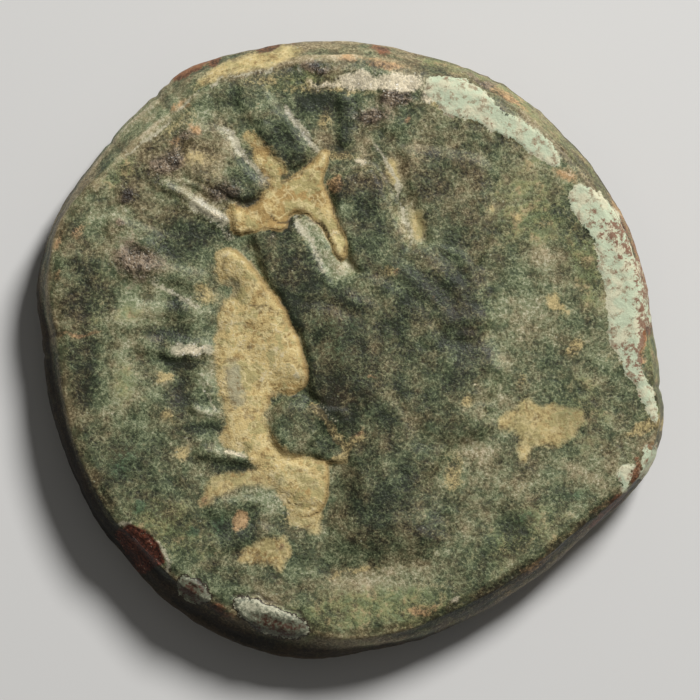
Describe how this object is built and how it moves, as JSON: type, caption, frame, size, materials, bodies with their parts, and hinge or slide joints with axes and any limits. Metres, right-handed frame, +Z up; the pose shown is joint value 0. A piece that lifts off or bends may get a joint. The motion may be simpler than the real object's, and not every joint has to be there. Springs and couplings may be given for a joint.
{
  "type": "roman bronze coin",
  "caption": "Thick, worn bronze coin with a crowned head in low relief, a bevelled hammered edge and a plain wreathed reverse, lying flat.",
  "frame": {"origin": "middle of the coin's outline, on the plane it rests on", "axes": "+Z up through the thickness, out of the portrait side; +Y towards the top of the portrait; +X the way the portrait looks"},
  "size_m": [0.0263, 0.0258, 0.0035],
  "materials": {
    "bronze": "corroded bronze: matt, granular dark-green patina with ochre earth in the hollows, pale verdigris and red copper oxide at the edge"
  },
  "bodies": {
    "root": {"coin": "bronze"}
  },
  "joints": []
}
